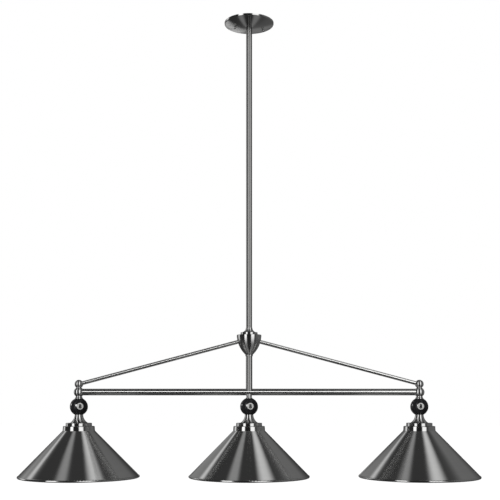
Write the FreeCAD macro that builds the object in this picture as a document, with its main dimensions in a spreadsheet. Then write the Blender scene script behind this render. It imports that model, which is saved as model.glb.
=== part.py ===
import FreeCAD, Part
import math
import os
import Sketcher

# Three-light pool table lamp, millimetres, +Z up.
# The origin is the centre of the ceiling outlet, on the ceiling plane; the bar runs along X.
# Levels called *_depth are distances below the ceiling.

Vector = FreeCAD.Vector
Placement = FreeCAD.Placement
Rotation = FreeCAD.Rotation

doc = FreeCAD.newDocument("PoolTableLamp")
sheet = doc.addObject("Spreadsheet::Sheet", "Dim")

DIMENSIONS = {
    "Ceiling canopy and crossbar": {
        "canopy_radius": 69.8,
        "canopy_height": 17.6,
        "canopy_lip": 3.8,
        "canopy_shoulder": 2.9,
        "canopy_flat": 11.0,
        "canopy_gauge": 1.0,
        "canopy_crown_radius": 235.0,
        "crossbar_length": 104.0,
        "crossbar_width": 22.0,
        "crossbar_gauge": 1.6,
        "crossbar_joggle": 2.4,
        "crossbar_step_inner": 24.0,
        "crossbar_step_outer": 29.0,
        "crossbar_step_skew": 0.4,
        "crossbar_corner": 5.0,
        "slot_spacing": 79.4,
        "slot_length": 14.4,
        "slot_radius": 2.4,
        "eyelet_radius": 6.0,
        "eyelet_bore": 4.2,
        "eyelet_head_radius": 8.4,
        "eyelet_foot_radius": 8.0,
        "strap_top_depth": 4.2,
        "strap_gauge": 1.7,
        "strap_length": 96.0,
        "strap_width": 15.0,
        "strap_angle": 16.7,
        "stud_circle": 41.8,
        "stud_radius": 2.0,
        "stud_top_depth": 3.0,
        "ball_nut_radius": 3.7,
        "ball_nut_seat": 13.516,
        "ball_nut_height": 7.8,
        "ball_nut_hole": 5.4,
        "ball_nut_collar_radius": 2.75,
        "ball_nut_collar_height": 1.6,
        "ground_screw_reach": 24.0,
        "ground_screw_flat": 6.35,
        "ground_screw_head": 2.4,
        "ground_screw_radius": 1.8,
    },
    "Threads and nipples": {
        "nipple_radius": 4.95,
        "nipple_bore": 3.4,
        "nipple_hole": 5.0,
        "locknut_flat": 14.3,
        "locknut_height": 3.3,
        "top_nipple_length": 23.0,
        "nipple_tail": 16.0,
        "hanger_tail": 4.0,
        "hanger_inset": 10.0,
        "running_gap": 0.08,
        "press_gap": 0.02,
        "sleeve_gap": 0.03,
    },
    "Drop rod": {
        "rod_radius": 8.55,
        "rod_wall": 1.2,
        "rod_end_depth": 884.0,
        "rod_sections": 3,
        "bush_length": 16.0,
        "joint_nipple_length": 28.0,
        "bush_inset": 0.3,
    },
    "Hub": {
        "hub_cap_depth": 868.5,
        "hub_cap_neck": 9.4,
        "hub_cap_flare": 13.0,
        "hub_cap_radius": 24.2,
        "hub_depth": 888.5,
        "hub_radius": 35.0,
        "hub_rim": 4.5,
        "hub_curve": 80.0,
        "hub_foot_depth": 949.5,
        "hub_waist_radius": 11.0,
        "hub_cavity_radius": 25.0,
        "hub_cavity_depth": 30.0,
        "hub_roof": 5.0,
        "hub_foot_solid": 14.0,
    },
    "Bar, stem and braces": {
        "light_spacing": 485.0,
        "bar_depth": 1051.6,
        "bar_radius": 9.525,
        "bar_wall": 1.5,
        "bar_end_inset": 3.0,
        "stem_radius": 9.25,
        "stem_wall": 1.5,
        "brace_radius": 5.4,
        "brace_wall": 0.9,
        "brace_hub_depth": 908.5,
        "brace_hub_reach": 31.4,
        "brace_tail": 7.0,
        "wire_hole_radius": 4.0,
    },
    "Finials and necks": {
        "small_ball_depth": 1029.0,
        "small_ball_radius": 12.25,
        "large_ball_depth": 1052.0,
        "large_ball_radius": 14.5,
        "waist_radius": 7.4,
        "foot_radius": 11.5,
        "foot_neck_radius": 9.3,
        "neck_radius": 8.0,
        "neck_foot_radius": 10.0,
    },
    "Pool balls and cups": {
        "ball_depth": 1093.3,
        "ball_radius": 25.5,
        "seat_gap": 0.1,
        "cup_roof_depth": 1139.5,
        "cup_neck_radius": 12.0,
        "cup_flare": 28.0,
        "cup_flare_reach": 13.9,
        "cup_flange_radius": 36.9,
        "cup_flange_height": 8.9,
        "cup_gauge": 1.1,
    },
    "Shades and rings": {
        "shade_depth": 1148.5,
        "shade_gauge": 0.9,
        "shade_hole": 20.5,
        "collar_radius": 44.8,
        "collar_foot_radius": 45.6,
        "collar_height": 13.0,
        "collar_round": 1.8,
        "mouth_radius": 170.1,
        "mouth_height": 140.5,
        "bead_radius": 3.4,
        "bead_centre_radius": 169.2,
        "bead_centre_height": 143.6,
        "ring_outer_radius": 27.5,
        "ring_height": 8.0,
        "ring_gap": 0.12,
        "knurls": 24,
        "knurl_radius": 1.25,
    },
    "Sockets and bulbs": {
        "socket_depth": 1144.3,
        "socket_shoulder_radius": 24.0,
        "socket_shoulder_height": 4.1,
        "socket_radius": 20.0,
        "socket_height": 48.0,
        "socket_bore": 14.6,
        "socket_roof": 7.8,
        "screw_shell_radius": 14.5,
        "screw_shell_gauge": 0.6,
        "screw_shell_height": 26.0,
        "contact_radius": 6.5,
        "contact_gauge": 1.2,
        "bulb_cap_radius": 13.2,
        "bulb_tip_depth": 1156.4,
        "bulb_length": 110.0,
        "bulb_radius": 30.0,
        "bulb_glass": 1.0,
        "bulb_neck_radius": 13.6,
        "bulb_neck_curve": 80.0,
        "bulb_cap_height": 30.0,
        "bulb_join_angle": 28.0,
    },
    "Wiring": {
        "main_cord_radius": 2.6,
        "branch_cord_radius": 1.8,
        "lead_radius": 1.1,
        "lead_foot_depth": 12.6,
        "lead_rise": 3.9,
        "lead_spread": 1.3,
        "lead_bend": 2.0,
        "lead_angle": 55.0,
        "ground_lead_radius": 0.55,
        "ground_lead_spread": 2.3,
        "ground_lead_reach": 20.3,
        "cord_bend": 7.0,
        "wire_nut_radius": 4.3,
        "cord_top_depth": 12.8,
        "cord_foot_rise": 7.0,
        "cord_start": 3.0,
        "wire_nut_length": 19.0,
        "wire_nut_reach": 22.0,
        "wire_nut_tip_radius": 2.2,
    },
}


def fill_sheet():
    """One row per dimension: alias in column A, its number in column B."""
    row = 0
    for group, entries in DIMENSIONS.items():
        row += 1
        sheet.set(f"A{row}", group)
        for alias, number in entries.items():
            row += 1
            sheet.set(f"A{row}", alias)
            sheet.set(f"B{row}", str(number))
            sheet.setAlias(f"B{row}", alias)
    doc.recompute()


# ---------------------------------------------------------------- expressions

def bound(expression):
    """Expression text with every bare alias written as Dim.alias; numbers pass through."""
    text = str(expression)
    for entries in DIMENSIONS.values():
        for alias in entries:
            text = replace_word(text, alias, "Dim." + alias)
    return text


def replace_word(text, word, new):
    """Replaces whole words only, so that one alias inside another is left alone."""
    pieces = []
    token = ""
    for letter in text + " ":
        if letter.isalnum() or letter in "_.":
            token += letter
            continue
        pieces.append(new if token == word else token)
        pieces.append(letter)
        token = ""
    return "".join(pieces)[:-1]


def value(expression):
    """Number that an expression of sheet aliases stands for."""
    result = sheet.evalExpression(bound(expression))
    return float(getattr(result, "Value", result))


# ---------------------------------------------------------------- bodies and sketches

def new_body(label, x="0", z="0"):
    """Body whose local origin lies on the lamp's X axis line at x, and at height z."""
    body = doc.addObject("PartDesign::Body", label)
    body.Label = label
    body.setExpression(".Placement.Base.x", bound(x))
    body.setExpression(".Placement.Base.z", bound(z))
    return body


def origin_plane(body, role):
    """One of the body's own origin planes: XY_Plane, XZ_Plane or YZ_Plane."""
    return [item for item in body.Origin.OriginFeatures if item.Role == role][0]


def new_sketch(body, name, role="XZ_Plane", offset="0"):
    """Sketch on an origin plane, moved along the plane's normal by offset."""
    sketch = body.newObject("Sketcher::SketchObject", f"{body.Name}_{name}")
    sketch.AttachmentSupport = (origin_plane(body, role), "")
    sketch.MapMode = "FlatFace"
    sketch.setExpression(".AttachmentOffset.Base.z", bound(offset))
    return sketch


def pin(sketch, geometry, position, x, y):
    """Fixes a point of a sketch edge at (x, y), bound to the sheet."""
    for kind, axis, expression in (("DistanceX", -2, x), ("DistanceY", -1, y)):
        if abs(value(expression)) < 1e-9:
            sketch.addConstraint(Sketcher.Constraint("PointOnObject", geometry, position, axis))
            continue
        constraint = Sketcher.Constraint(kind, -1, 1, geometry, position, value(expression))
        index = sketch.addConstraint(constraint)
        sketch.setExpression(f"Constraints[{index}]", bound(expression))


def arc_between(start, end, radius):
    """Arc from start to end, under half a turn; a positive radius curves to the left of travel."""
    chord = end - start
    half = chord.Length / 2.0
    size = abs(radius)
    rise = math.sqrt(max(size * size - half * half, 0.0))
    turn = 1.0 if radius > 0 else -1.0
    left = Vector(-chord.y, chord.x, 0).normalize()
    centre = start + chord * 0.5 + left * (rise * turn)
    first, last = (start, end) if turn > 0 else (end, start)
    angles = [math.atan2(point.y - centre.y, point.x - centre.x) for point in (first, last)]
    if angles[1] < angles[0]:
        angles[1] += 2 * math.pi
    return Part.ArcOfCircle(Part.Circle(centre, Vector(0, 0, 1), size), angles[0], angles[1])


def fix_arc(sketch, edge, before, corner):
    """Ties an arc with fixed ends to its radius; a half circle is tied by its centre instead."""
    across = value(f"({corner[0]}) - ({before[0]})")
    along = value(f"({corner[1]}) - ({before[1]})")
    radius = abs(value(corner[2]))
    if math.hypot(across, along) / 2.0 < radius - 1e-6:
        index = sketch.addConstraint(Sketcher.Constraint("Radius", edge, radius))
        sketch.setExpression(f"Constraints[{index}]", bound(f"abs({corner[2]})"))
        return
    kind, part, axis = ("DistanceY", 1, -1) if abs(across) > abs(along) else ("DistanceX", 0, -2)
    middle = f"(({corner[part]}) + ({before[part]})) / 2"
    if abs(value(middle)) < 1e-9:
        sketch.addConstraint(Sketcher.Constraint("PointOnObject", edge, 3, axis))
        return
    index = sketch.addConstraint(Sketcher.Constraint(kind, -1, 1, edge, 3, value(middle)))
    sketch.setExpression(f"Constraints[{index}]", bound(middle))


def outline(sketch, corners, closed=True):
    """Edges through corners (x, y) or (x, y, radius); a radius makes the edge that arrives an arc."""
    places = [Vector(value(corner[0]), value(corner[1]), 0) for corner in corners]
    edges = []
    for index in range(0 if closed else 1, len(corners)):
        corner = corners[index]
        start = places[index - 1]
        end = places[index]
        if len(corner) == 3:
            radius = value(corner[2])
            edge = sketch.addGeometry(arc_between(start, end, radius), False)
            fix_arc(sketch, edge, corners[index - 1], corner)
            first, last = (1, 2) if radius > 0 else (2, 1)
        else:
            edge = sketch.addGeometry(Part.LineSegment(start, end), False)
            first, last = 1, 2
        edges.append((edge, first, last, corner))
    joints = list(zip(edges, edges[1:]))
    if closed:
        joints.append((edges[-1], edges[0]))
    for before, after in joints:
        sketch.addConstraint(Sketcher.Constraint("Coincident", before[0], before[2], after[0], after[1]))
    for edge, first, last, corner in edges:
        pin(sketch, edge, last, corner[0], corner[1])
    if not closed:
        pin(sketch, edges[0][0], edges[0][1], corners[0][0], corners[0][1])
    return [edge for edge, first, last, corner in edges]


def circle(sketch, x, y, radius):
    """Full circle centred at (x, y)."""
    centre = Vector(value(x), value(y), 0)
    edge = sketch.addGeometry(Part.Circle(centre, Vector(0, 0, 1), value(radius)), False)
    constraint = sketch.addConstraint(Sketcher.Constraint("Radius", edge, value(radius)))
    sketch.setExpression(f"Constraints[{constraint}]", bound(radius))
    pin(sketch, edge, 3, x, y)


def hexagon(sketch, x, flat):
    """Hexagon centred at (x, 0), flat across two sides."""
    corner = f"{flat} / 2 / cos(30 deg)"
    angles = [60 * step for step in range(6)]
    outline(sketch, [
        (f"{x} + {corner} * cos({angle} deg)", f"{corner} * sin({angle} deg)") for angle in angles
    ])


def revolve(body, sketch, name="Turned"):
    """Full turn of a sketch about the body's vertical axis."""
    feature = body.newObject("PartDesign::Revolution", f"{body.Name}_{name}")
    feature.Profile = sketch
    feature.ReferenceAxis = (sketch, ["V_Axis"])
    feature.Angle = 360.0
    return feature


def turned(label, corners, x="0", z="0"):
    """Lathe-turned or spun piece: an outline of (radius, height) corners revolved about Z."""
    body = new_body(label, x, z)
    sketch = new_sketch(body, "Profile")
    outline(sketch, corners)
    revolve(body, sketch)
    return body


def pad(body, sketch, length, both_ways=False, name="Pad"):
    """Extrusion along the sketch's normal, or half to each side of it."""
    feature = body.newObject("PartDesign::Pad", f"{body.Name}_{name}")
    feature.Profile = sketch
    feature.setExpression("Length", bound(length))
    if both_ways:
        feature.SideType = "Symmetric"
    return feature


def cut_through(body, sketch, length, name="Opening"):
    """Pocket reaching half its length to each side of the sketch."""
    doc.recompute()
    before = body.Shape.Volume
    feature = body.newObject("PartDesign::Pocket", f"{body.Name}_{name}")
    feature.Profile = sketch
    feature.setExpression("Length", bound(length))
    feature.SideType = "Symmetric"
    doc.recompute()
    if body.Shape.Volume > before - 1e-3:
        raise RuntimeError(f"{feature.Name} removes nothing")
    return feature


def drill(body, name, x, y, z, radius, depth, tilt="0"):
    """Round hole from (x, y, z) along +Z, leaned towards +X by tilt degrees."""
    doc.recompute()
    before = body.Shape.Volume
    hole = body.newObject("PartDesign::SubtractiveCylinder", f"{body.Name}_{name}")
    hole.AttachmentSupport = (origin_plane(body, "XY_Plane"), "")
    hole.MapMode = "FlatFace"
    hole.AttachmentOffset = Placement(Vector(), Rotation(Vector(0, 1, 0), value(tilt)))
    hole.setExpression("AttachmentOffset.Base.x", bound(x))
    hole.setExpression("AttachmentOffset.Base.y", bound(y))
    hole.setExpression("AttachmentOffset.Base.z", bound(z))
    hole.setExpression("Radius", bound(radius))
    hole.setExpression("Height", bound(depth))
    doc.recompute()
    if body.Shape.Volume > before - 1e-3:
        raise RuntimeError(f"{hole.Name} removes nothing")
    return hole


def tube(label, radius, wall, length, x="0", z="0"):
    """Straight tube standing on its local origin."""
    body = new_body(label, x, z)
    sketch = new_sketch(body, "Section", "XY_Plane")
    circle(sketch, "0", "0", radius)
    circle(sketch, "0", "0", f"{radius} - {wall}")
    pad(body, sketch, length)
    return body


def soften(body, radius, keep):
    """Rounds the edges that keep(edge) picks."""
    doc.recompute()
    tip = body.Tip
    names = [f"Edge{i + 1}" for i, edge in enumerate(tip.Shape.Edges) if keep(edge)]
    feature = body.newObject("PartDesign::Fillet", f"{body.Name}_Rounding")
    feature.Base = (tip, names)
    feature.setExpression("Radius", bound(radius))
    return feature


def grouped(label, x="0", z="0"):
    """Body that may hold several identical separate solids."""
    body = new_body(label, x, z)
    body.AllowCompound = True
    return body


def repeated_rings(label, outer, bore, length, places):
    """Identical bored cylinders, one standing on each (x, z) place."""
    body = grouped(label)
    for index, (x, z) in enumerate(places):
        sketch = new_sketch(body, f"Section{index}", "XY_Plane", z)
        circle(sketch, x, "0", outer)
        circle(sketch, x, "0", bore)
        pad(body, sketch, length, name=f"Pad{index}")
    return body


def repeated_hexagons(label, bore, length, places):
    """Identical hexagon locknuts, one standing on each (x, z) place."""
    body = grouped(label)
    for index, (x, z) in enumerate(places):
        sketch = new_sketch(body, f"Section{index}", "XY_Plane", z)
        hexagon(sketch, x, "locknut_flat")
        circle(sketch, x, "0", bore)
        pad(body, sketch, length, name=f"Pad{index}")
    return body


def pipe(body, start_plane, start_offset, start, radius, path):
    """Round wire: a circle on start_plane swept along a path of lines and arcs in the XZ plane."""
    spine = new_sketch(body, "Path")
    edges = outline(spine, path, closed=False)
    section = new_sketch(body, "Section", start_plane, start_offset)
    circle(section, start[0], start[1], radius)
    doc.recompute()
    sweep = body.newObject("PartDesign::AdditivePipe", f"{body.Name}_Wire")
    sweep.Profile = section
    sweep.Spine = (spine, [f"Edge{edge + 1}" for edge in edges])
    return body


# ---------------------------------------------------------------- ceiling fittings

def box_crossbar():
    """Outlet-box crossbar: joggled strap, slotted ears against the box and its middle clear of it."""
    body = new_body("box_crossbar")
    side = new_sketch(body, "Side", "YZ_Plane")
    low_inner = "(crossbar_step_inner + crossbar_step_skew)"
    low_outer = "(crossbar_step_outer + crossbar_step_skew)"
    outline(side, [
        ("-crossbar_length / 2", "0"),
        ("-crossbar_step_outer", "0"),
        ("-crossbar_step_inner", "-crossbar_joggle"),
        ("crossbar_step_inner", "-crossbar_joggle"),
        ("crossbar_step_outer", "0"),
        ("crossbar_length / 2", "0"),
        ("crossbar_length / 2", "-crossbar_gauge"),
        (low_outer, "-crossbar_gauge"),
        (low_inner, "-crossbar_joggle - crossbar_gauge"),
        (f"-{low_inner}", "-crossbar_joggle - crossbar_gauge"),
        (f"-{low_outer}", "-crossbar_gauge"),
        ("-crossbar_length / 2", "-crossbar_gauge"),
    ])
    pad(body, side, "crossbar_width", both_ways=True)
    slots = new_sketch(body, "Slots", "XY_Plane")
    for sign in ("-", ""):
        near = f"{sign}slot_spacing / 2 - slot_length / 2 + slot_radius"
        far = f"{sign}slot_spacing / 2 + slot_length / 2 - slot_radius"
        outline(slots, [
            ("slot_radius", far),
            ("-slot_radius", far, "slot_radius"),
            ("-slot_radius", near),
            ("slot_radius", near, "slot_radius"),
        ])
    cut_through(body, slots, "4 * crossbar_joggle", "Slots")
    drill(body, "EyeletHole", "0", "0", "-10", "eyelet_radius + press_gap", "20")
    end = value("crossbar_length / 2")
    inside = value("slot_radius + 1")

    def outer_corner(edge):
        middle = edge.CenterOfMass
        short = edge.Length < value("2 * crossbar_gauge")
        return short and abs(abs(middle.y) - end) < 0.01 and abs(middle.x) > inside

    soften(body, "crossbar_corner", outer_corner)


def pivot_eyelet():
    """Hollow rivet that joins the crossbar to the canopy strap and lets the strap swivel."""
    top = "-(crossbar_joggle - 0.05)"
    foot = "-(strap_top_depth + strap_gauge + 0.1)"
    turned("pivot_eyelet", [
        ("eyelet_bore", "-1.0"),
        ("eyelet_head_radius - 0.8", "-1.0"),
        ("eyelet_head_radius", "-1.7", "-0.9"),
        ("eyelet_head_radius", top),
        ("eyelet_radius", top),
        ("eyelet_radius", foot),
        ("eyelet_foot_radius", foot),
        ("eyelet_foot_radius", f"{foot} - 0.5"),
        ("eyelet_foot_radius - 0.6", f"{foot} - 1.1", "-0.7"),
        ("eyelet_bore", f"{foot} - 1.1"),
    ])


def canopy_strap():
    """Swivelling strap that carries the two canopy studs."""
    body = new_body("canopy_strap", z="-strap_top_depth - strap_gauge")
    body.setExpression(".Placement.Rotation.Angle", bound("strap_angle * 1 deg"))
    plan = new_sketch(body, "Plan", "XY_Plane")
    reach = "strap_length / 2 - strap_width / 2"
    outline(plan, [
        (reach, "-strap_width / 2"),
        (reach, "strap_width / 2", "strap_width / 2"),
        (f"-({reach})", "strap_width / 2"),
        (f"-({reach})", "-strap_width / 2", "strap_width / 2"),
    ])
    pad(body, plan, "strap_gauge")
    drill(body, "SwivelHole", "0", "0", "-5", "eyelet_radius + running_gap", "10")
    for name, x in (("StudHoleA", "stud_circle"), ("StudHoleB", "-stud_circle")):
        drill(body, name, x, "0", "-5", "stud_radius + press_gap", "10")
    drill(body, "GroundHole", "-ground_screw_reach", "0", "-5", "ground_screw_radius + press_gap", "10")


def canopy_studs():
    """Two threaded studs, screwed down through the strap and the canopy."""
    body = grouped("canopy_studs", z="-stud_top_depth")
    body.setExpression(".Placement.Rotation.Angle", bound("strap_angle * 1 deg"))
    plan = new_sketch(body, "Plan", "XY_Plane")
    for x in ("stud_circle", "-stud_circle"):
        circle(plan, x, "0", "stud_radius")
    shanks = pad(body, plan, "ball_nut_seat + ball_nut_hole - stud_top_depth - 0.6")
    shanks.Reversed = True


def canopy_ball_nuts():
    """Two ball-shaped cap nuts under the canopy, each with a short collar and a blind threaded hole."""
    body = grouped("canopy_ball_nuts", z="-ball_nut_seat")
    body.setExpression(".Placement.Rotation.Angle", bound("strap_angle * 1 deg"))
    for index, x in enumerate(("stud_circle", "-stud_circle")):
        sketch = new_sketch(body, f"Profile{index}")
        bore = "stud_radius + press_gap"
        collar = "ball_nut_collar_radius"
        outline(sketch, [
            (f"{x} + {bore}", "0"),
            (f"{x} + {collar} - 0.3", "0"),
            (f"{x} + {collar}", "-0.3", "-0.3"),
            (f"{x} + {collar}", "-ball_nut_collar_height"),
            (x, "-ball_nut_height", "-ball_nut_radius"),
            (x, "-ball_nut_hole"),
            (f"{x} + {bore}", "-ball_nut_hole"),
        ])
        doc.recompute()
        ball = body.newObject("PartDesign::Revolution", f"{body.Name}_Ball{index}")
        ball.Profile = sketch
        foot = "-ball_nut_height - 1"
        ends = (Vector(value(x), 0, 0), Vector(value(x), value(foot), 0))
        line = sketch.addGeometry(Part.LineSegment(*ends), True)
        pin(sketch, line, 1, x, "0")
        pin(sketch, line, 2, x, foot)
        ball.ReferenceAxis = (sketch, ["Axis0"])
        ball.Angle = 360.0


def canopy():
    """Spun ceiling canopy: short upright lip, rounded shoulder and shallow crown with a flat middle."""
    inside = "canopy_radius - canopy_gauge"
    roof = "-canopy_height + canopy_gauge"
    body = turned("canopy", [
        ("canopy_radius", "0"),
        (inside, "0"),
        (inside, "-canopy_lip + 0.6"),
        (f"{inside} - 1.5", "-canopy_lip - 0.6", "-(canopy_shoulder - canopy_gauge)"),
        ("canopy_flat", roof, "-canopy_crown_radius + canopy_gauge"),
        ("nipple_hole", roof),
        ("nipple_hole", "-canopy_height"),
        ("canopy_flat", "-canopy_height"),
        ("canopy_radius - 2.0", "-canopy_lip - 1.9", "canopy_crown_radius"),
        ("canopy_radius", "-canopy_lip + 0.4", "canopy_shoulder"),
    ])
    for name, sign in (("StudHoleA", ""), ("StudHoleB", "-")):
        x = f"{sign}stud_circle * cos(strap_angle)"
        y = f"{sign}stud_circle * sin(strap_angle)"
        drill(body, name, x, y, "-canopy_height", "stud_radius + 0.15", "canopy_height")


def ground_screw():
    """Hexagon-headed earth screw under the strap."""
    x = "-ground_screw_reach * cos(strap_angle)"
    body = new_body("ground_screw", x, "-strap_top_depth - strap_gauge")
    body.setExpression(".Placement.Base.y", bound("-ground_screw_reach * sin(strap_angle)"))
    head = new_sketch(body, "Head", "XY_Plane")
    hexagon(head, "0", "ground_screw_flat")
    flats = pad(body, head, "ground_screw_head", name="HeadPad")
    flats.Reversed = True
    shank = new_sketch(body, "Shank", "XY_Plane")
    circle(shank, "0", "0", "ground_screw_radius")
    pad(body, shank, "strap_gauge - 0.1", name="ShankPad")


def supply_wiring():
    """Black and white leads from the rod into their wire connectors, and the bare earth lead."""
    for label, sign, turn in (("black_lead", "", "-"), ("white_lead", "-", "")):
        body = new_body(label, z="-lead_foot_depth")
        body.setExpression(".Placement.Rotation.Angle", bound("-lead_angle * 1 deg"))
        pipe(body, "XY_Plane", "0", (f"{sign}lead_spread", "0"), "lead_radius", [
            (f"{sign}lead_spread", "0"),
            (f"{sign}lead_spread", "lead_rise - lead_bend"),
            (f"{sign}(lead_spread + lead_bend)", "lead_rise", f"{turn}lead_bend"),
            (f"{sign}(wire_nut_reach + wire_nut_length / 2)", "lead_rise"),
        ])
    nuts = grouped("wire_connectors", z="-lead_foot_depth + lead_rise")
    nuts.setExpression(".Placement.Rotation.Angle", bound("-lead_angle * 1 deg"))
    for index, sign in enumerate(("", "-")):
        tip = f"{sign}(wire_nut_reach + wire_nut_length)"
        blind = f"{sign}(wire_nut_reach + wire_nut_length - 3)"
        sketch = new_sketch(nuts, f"Profile{index}")
        outline(sketch, [
            (f"{sign}wire_nut_reach", "-lead_radius - 0.2"),
            (blind, "-lead_radius - 0.2"),
            (blind, "0"),
            (tip, "0"),
            (tip, "-wire_nut_tip_radius"),
            (f"{sign}(wire_nut_reach + 5)", "-wire_nut_radius"),
            (f"{sign}wire_nut_reach", "-wire_nut_radius"),
        ])
        doc.recompute()
        shell = nuts.newObject("PartDesign::Revolution", f"{nuts.Name}_Turned{index}")
        shell.Profile = sketch
        shell.ReferenceAxis = (sketch, ["H_Axis"])
        shell.Angle = 360.0
    ground = new_body("ground_lead", z="-lead_foot_depth")
    ground.setExpression(".Placement.Rotation.Angle", bound("strap_angle * 1 deg"))
    pipe(ground, "XY_Plane", "0", ("-ground_lead_spread", "0"), "ground_lead_radius", [
        ("-ground_lead_spread", "0"),
        ("-ground_lead_spread", "lead_bend"),
        ("-ground_lead_spread - lead_bend", "2 * lead_bend", "lead_bend"),
        ("-ground_lead_reach", "2 * lead_bend"),
    ])


# ---------------------------------------------------------------- drop rod

def section_length():
    return "((rod_end_depth - canopy_height) / rod_sections)"


def drop_rod():
    """Three equal tubes screwed end to end, with a threaded bush in each end."""
    length = section_length()
    for index, label in enumerate(("upper_rod", "middle_rod", "lower_rod")):
        tube(label, "rod_radius", "rod_wall", length, z=f"-canopy_height - {index + 1} * {length}")
    places = []
    for index in range(3):
        places.append(("0", f"-canopy_height - {index} * {length} - bush_length - bush_inset"))
        places.append(("0", f"-canopy_height - {index + 1} * {length} + bush_inset"))
    bush_radius = "rod_radius - rod_wall - press_gap"
    repeated_rings("rod_bushes", bush_radius, "nipple_hole", "bush_length", places)
    joints = []
    for index in (1, 2):
        joints.append(("0", f"-canopy_height - {index} * {length} - joint_nipple_length / 2"))
    repeated_rings("rod_joint_nipples", "nipple_radius", "nipple_bore", "joint_nipple_length", joints)
    repeated_rings("top_nipple", "nipple_radius", "nipple_bore", "top_nipple_length",
                   [("0", "-canopy_height - bush_length")])
    repeated_hexagons("canopy_locknut", "nipple_hole", "locknut_height",
                      [("0", "-canopy_height + canopy_gauge")])


# ---------------------------------------------------------------- hub, stem and braces

# Angle of a brace below the horizontal.
BRACE_SLOPE = "atan2(small_ball_depth - brace_hub_depth; light_spacing - brace_hub_reach)"


def hub():
    """Flared cap over the rod's foot, tapering urn below it, and the nipple and nut that clamp them."""
    shoulder = "hub_cap_flare + hub_cap_neck"
    turned("hub_cap", [
        ("rod_radius + sleeve_gap", "0"),
        ("hub_cap_neck", "0"),
        (shoulder, "-hub_cap_flare", "hub_cap_flare"),
        ("hub_cap_radius - 1.0", "-hub_cap_flare - 0.1"),
        ("hub_cap_radius", "-hub_cap_flare - 1.1", "-1.0"),
        ("hub_cap_radius", "-(hub_depth - hub_cap_depth) + 0.6"),
        ("hub_cap_radius - 0.6", "-(hub_depth - hub_cap_depth)", "-0.6"),
        ("nipple_hole", "-(hub_depth - hub_cap_depth)"),
        ("nipple_hole", "-(rod_end_depth - hub_cap_depth)"),
        ("rod_radius + sleeve_gap", "-(rod_end_depth - hub_cap_depth)"),
    ], z="-hub_cap_depth")

    foot = "-(hub_foot_depth - hub_depth)"
    urn = turned("hub_body", [
        ("nipple_hole", "0"),
        ("hub_radius - 1.6", "0"),
        ("hub_radius", "-1.6", "-1.6"),
        ("hub_radius", "-hub_rim"),
        ("hub_waist_radius", f"{foot} + 4.6", "-hub_curve"),
        ("hub_waist_radius - 0.4", f"{foot} + 3.4"),
        ("hub_waist_radius", f"{foot} + 2.6", "0.6"),
        ("hub_waist_radius", f"{foot} + 0.8"),
        ("hub_waist_radius - 0.8", foot, "-0.8"),
        ("nipple_hole", foot),
        ("nipple_hole", f"{foot} + hub_foot_solid"),
        ("8.0", f"{foot} + hub_foot_solid"),
        ("hub_cavity_radius", "-hub_cavity_depth"),
        ("hub_cavity_radius", "-hub_roof"),
        ("nipple_hole", "-hub_roof"),
    ], z="-hub_depth")
    for name, sign in (("BraceHoleA", ""), ("BraceHoleB", "-")):
        x = f"{sign}(brace_hub_reach - 15 * cos({BRACE_SLOPE}))"
        z = f"-(brace_hub_depth - hub_depth) + 15 * sin({BRACE_SLOPE})"
        drill(urn, name, x, "0", z, "brace_radius + sleeve_gap", "30", f"{sign}(90 deg + {BRACE_SLOPE})")

    repeated_rings("hub_nipple", "nipple_radius", "nipple_bore",
                   "hub_foot_depth - rod_end_depth + 2 * nipple_tail",
                   [("0", "-hub_foot_depth - nipple_tail")])
    repeated_hexagons("hub_locknut", "nipple_hole", "locknut_height",
                      [("0", "-hub_depth - hub_roof - locknut_height")])


def stem():
    """Short tube from the hub down to the bar, its foot coped to the bar's round."""
    body = tube("lower_stem", "stem_radius", "stem_wall", "bar_depth - hub_foot_depth", z="-bar_depth")
    saddle = new_sketch(body, "Saddle", "YZ_Plane")
    circle(saddle, "0", "0", "bar_radius")
    cut_through(body, saddle, "6 * stem_radius", "Saddle")
    repeated_rings("stem_bush", "stem_radius - stem_wall - press_gap", "nipple_hole", "bush_length",
                   [("0", "-hub_foot_depth - bush_length - bush_inset")])


def main_bar():
    """Horizontal tube between the end finials, with wire holes at the middle."""
    body = new_body("main_bar", z="-bar_depth")
    section = new_sketch(body, "Section", "YZ_Plane")
    circle(section, "0", "0", "bar_radius")
    circle(section, "0", "0", "bar_radius - bar_wall")
    pad(body, section, "2 * (light_spacing - bar_end_inset)", both_ways=True)
    drill(body, "WireHoleTop", "0", "0", "0", "wire_hole_radius", "20")
    drill(body, "WireHoleFoot", "0", "0", "-20", "wire_hole_radius", "20")


def braces():
    """Two thin tubes from the hub's sides down to the small balls of the end finials."""
    run = "(light_spacing - brace_hub_reach)"
    for label, sign, side in (("left_brace", "-", -1), ("right_brace", "", 1)):
        body = new_body(label, f"{sign}brace_hub_reach", "-brace_hub_depth")
        body.Placement.Rotation = Rotation(Vector(0, side, 0), 90)
        body.setExpression(".Placement.Rotation.Angle", bound(f"90 deg + {BRACE_SLOPE}"))
        section = new_sketch(body, "Section", "XY_Plane", "-brace_tail")
        circle(section, "0", "0", "brace_radius")
        circle(section, "0", "0", "brace_radius - brace_wall")
        pad(body, section, f"{run} / cos({BRACE_SLOPE}) + brace_tail - 1.5")


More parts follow.
